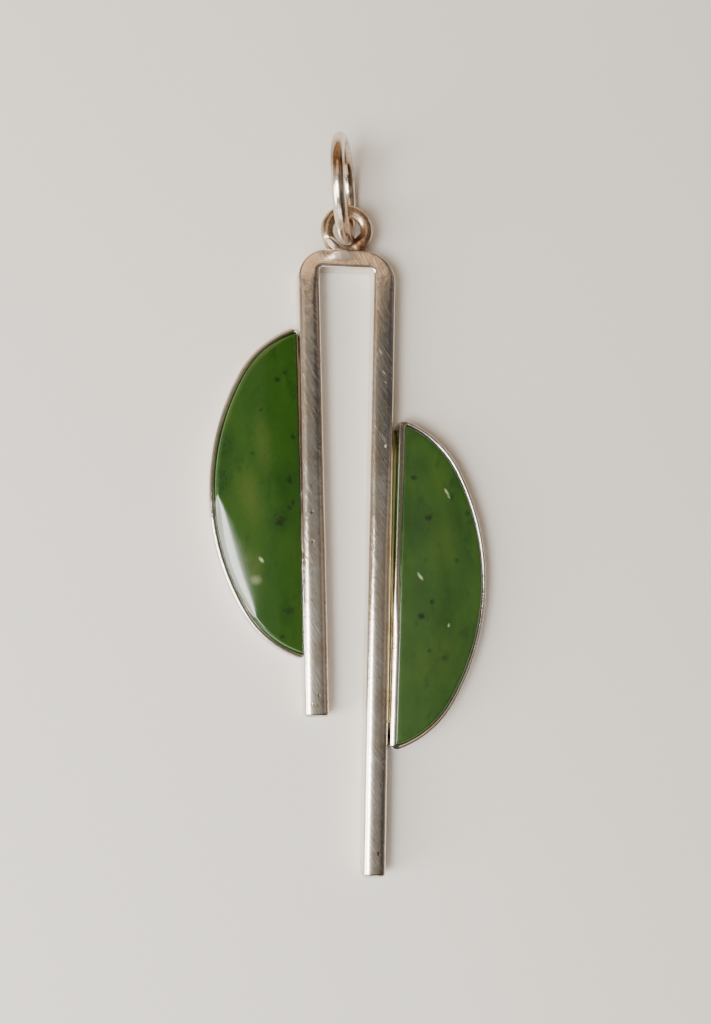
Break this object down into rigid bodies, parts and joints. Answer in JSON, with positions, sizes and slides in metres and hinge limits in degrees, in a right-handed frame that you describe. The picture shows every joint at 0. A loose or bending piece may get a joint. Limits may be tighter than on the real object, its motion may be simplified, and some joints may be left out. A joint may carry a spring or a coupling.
{
  "type": "jade pendant",
  "caption": "Silver pendant with an inverted U of bent bar on unequal legs, a half-oval green jade in a closed setting beside each leg, and a soldered loop that carries a jump ring.",
  "frame": {"origin": "middle of the underside of the whole pendant as it lies on its back", "axes": "+Y from the feet of the legs towards the jump ring, +Z out of the front face, away from the surface it lies on, +X to the side of the longer leg"},
  "size_m": [0.0208, 0.0544, 0.0079],
  "materials": {
    "silver": "worn satin",
    "jade_warm": "polished",
    "jade_cool": "polished"
  },
  "bodies": {
    "root": {"silver_frame": "silver", "jump_ring": "silver", "jade_left": "jade_warm", "jade_right": "jade_cool"}
  },
  "joints": []
}
